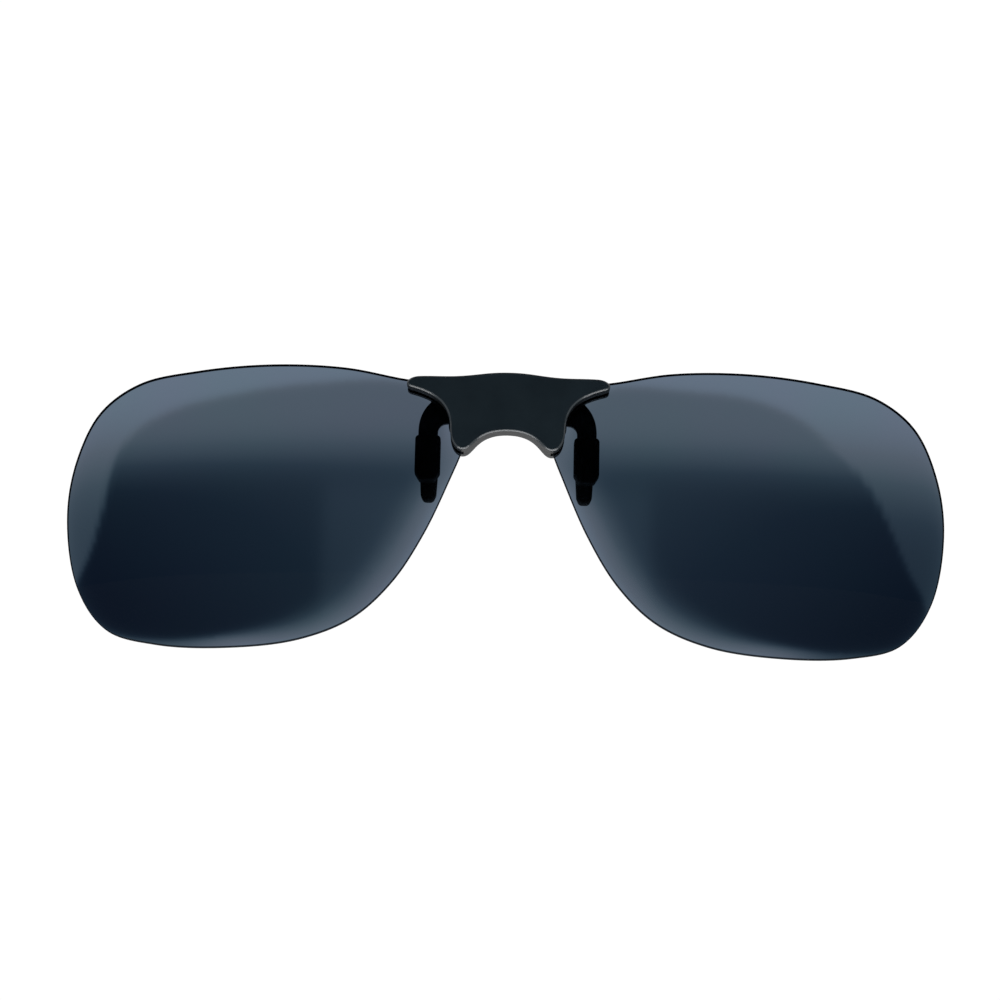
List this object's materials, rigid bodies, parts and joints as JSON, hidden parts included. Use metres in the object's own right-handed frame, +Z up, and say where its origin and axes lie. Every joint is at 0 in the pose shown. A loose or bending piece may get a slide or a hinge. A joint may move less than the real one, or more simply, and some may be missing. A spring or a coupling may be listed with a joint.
{
  "type": "clip-on sunglasses",
  "caption": "Rimless tinted clip-on sunglasses on a gull-winged bridge housing, with a sprung pinch clamp whose rubber-sleeved prongs grip the bridge of spectacles.",
  "frame": {"origin": "middle of the closed grip, halfway between the front and the rear prongs' contact faces, on the symmetry plane", "axes": "+Z up as worn, +X towards the wearer's left lens, -Y along the lens fronts' facing direction, +Y towards the wearer's face"},
  "size_m": [0.1362, 0.0144, 0.0441],
  "materials": {
    "tinted_lens": "polished grey-blue tinted plastic",
    "housing": "black satin-gloss moulding",
    "moulding": "black moulded plastic",
    "arm": "black lacquered stamped steel",
    "rubber": "soft black rubber",
    "steel": "plain steel",
    "bush": "natural nylon"
  },
  "bodies": {
    "front": {"cover": "housing", "base": "moulding", "pivot_pin": "steel", "torsion_spring": "steel", "lens_left": "tinted_lens", "lens_right": "tinted_lens", "front_arm_left": "arm", "front_arm_right": "arm", "front_sleeve_left": "rubber", "front_sleeve_right": "rubber", "lens_screw_left_lower": "steel", "lens_screw_left_upper": "steel", "lens_screw_right_lower": "steel", "lens_screw_right_upper": "steel", "lens_bush_left_lower": "bush", "lens_bush_left_upper": "bush", "lens_bush_right_lower": "bush", "lens_bush_right_upper": "bush"},
    "clamp": {"clamp_lever": "moulding", "thumb_grip": "rubber", "rear_arm_left": "arm", "rear_arm_right": "arm", "rear_sleeve_left": "rubber", "rear_sleeve_right": "rubber", "rivet_left_lower": "steel", "rivet_left_upper": "steel", "rivet_right_lower": "steel", "rivet_right_upper": "steel"}
  },
  "joints": [
    {"name": "clamp_pivot", "type": "hinge", "parent": "front", "child": "clamp", "pos_m": [0, -0.0006, 0.0076], "axis": [1, 0, 0], "range_deg": [0, 28], "stiffness_Nm_per_rad": 0.05, "springref_deg": -28.65, "deforming": ["torsion_spring"]}
  ]
}
